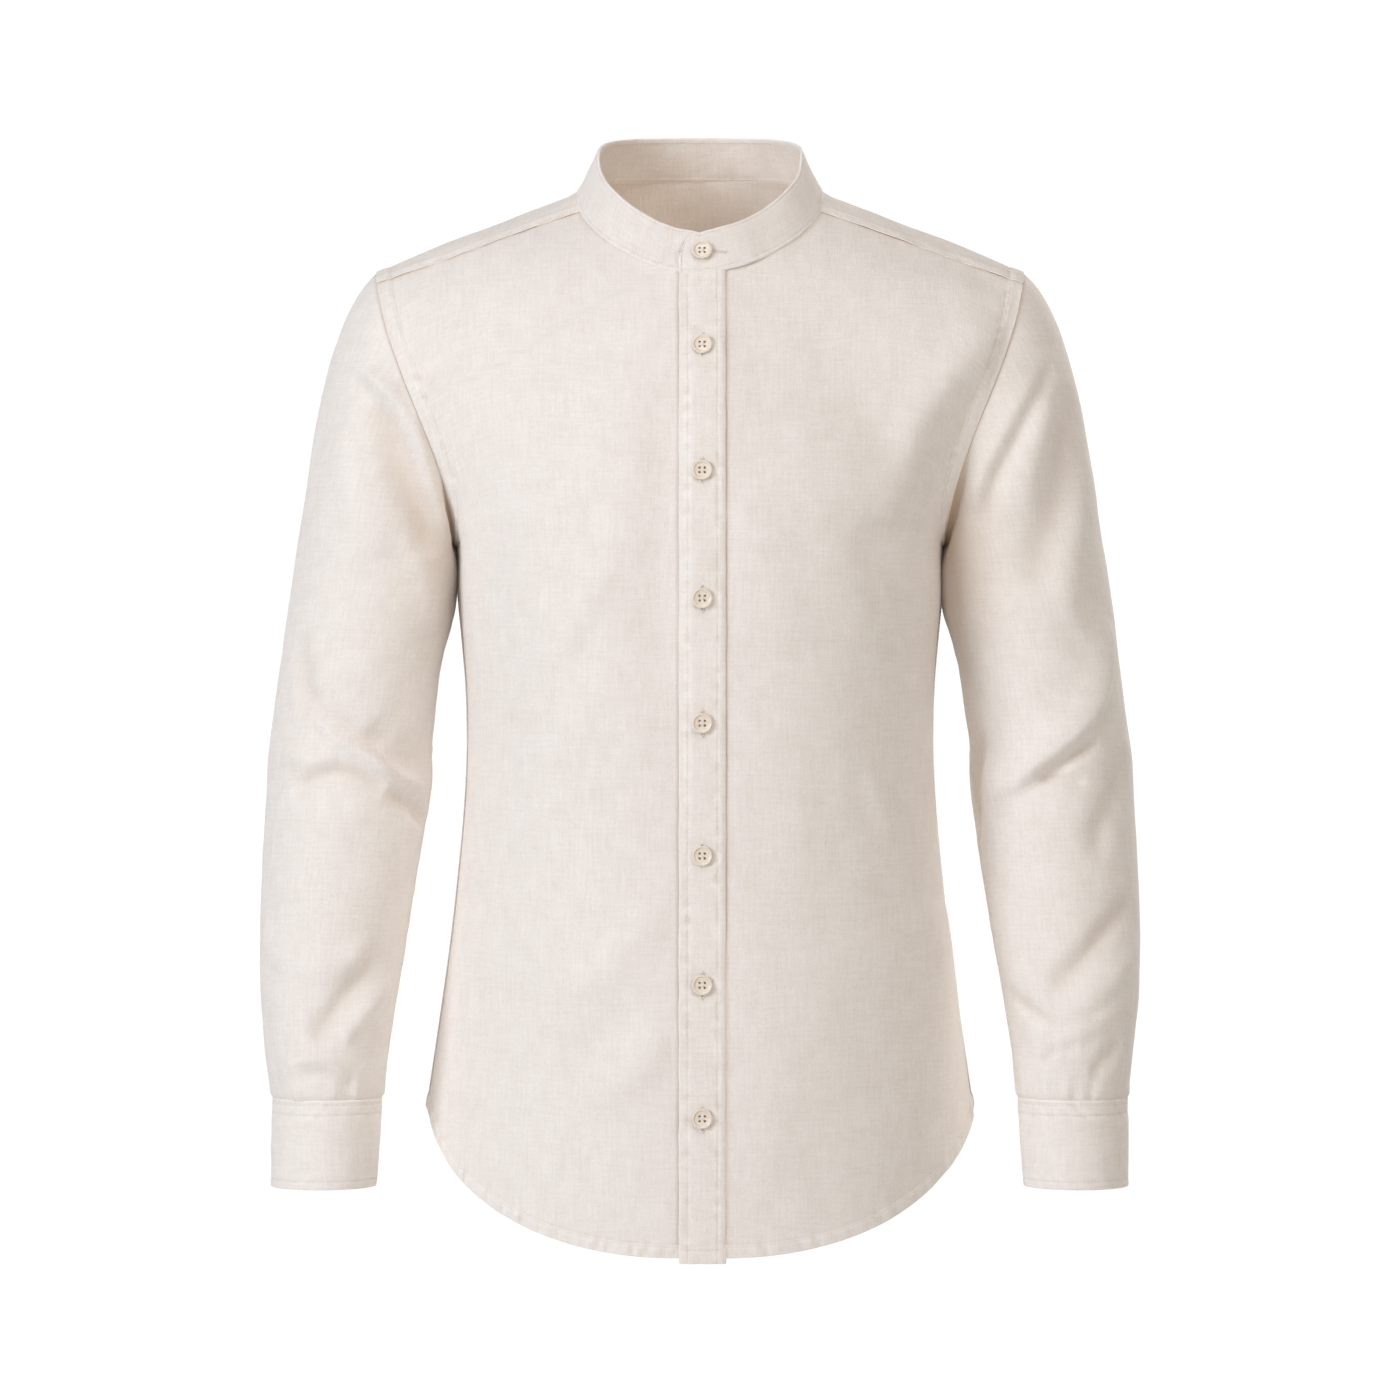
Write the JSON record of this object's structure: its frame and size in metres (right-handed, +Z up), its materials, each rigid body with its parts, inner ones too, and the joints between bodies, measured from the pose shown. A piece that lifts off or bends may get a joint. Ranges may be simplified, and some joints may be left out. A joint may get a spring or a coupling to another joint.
{
  "type": "button-up shirt",
  "caption": "Long-sleeved button-up shirt with a stand-up band collar, buttoned cuffs and a rounded hem, filled out as worn and hollow.",
  "frame": {"origin": "middle of the neck opening, level with the two points where the collar meets the shoulders", "axes": "+Z up, the front faces -Y, and the wearer's left is +X"},
  "size_m": [0.6224, 0.2571, 0.7973],
  "materials": {
    "cloth": "off-white plain-woven linen and cotton, matte, with slight slubs",
    "buttons": "pale horn colour, satin"
  },
  "bodies": {
    "root": {"front_right": "cloth", "front_left": "cloth", "front_placket": "cloth", "back": "cloth", "yoke": "cloth", "collar_band": "cloth", "sleeve_left": "cloth", "sleeve_right": "cloth", "sleeve_placket_left": "cloth", "sleeve_placket_right": "cloth", "cuff_left": "cloth", "cuff_right": "cloth", "button_collar": "buttons", "button_1": "buttons", "button_2": "buttons", "button_3": "buttons", "button_4": "buttons", "button_5": "buttons", "button_6": "buttons", "button_7": "buttons", "cuff_button_left": "buttons", "cuff_button_right": "buttons"}
  },
  "joints": []
}
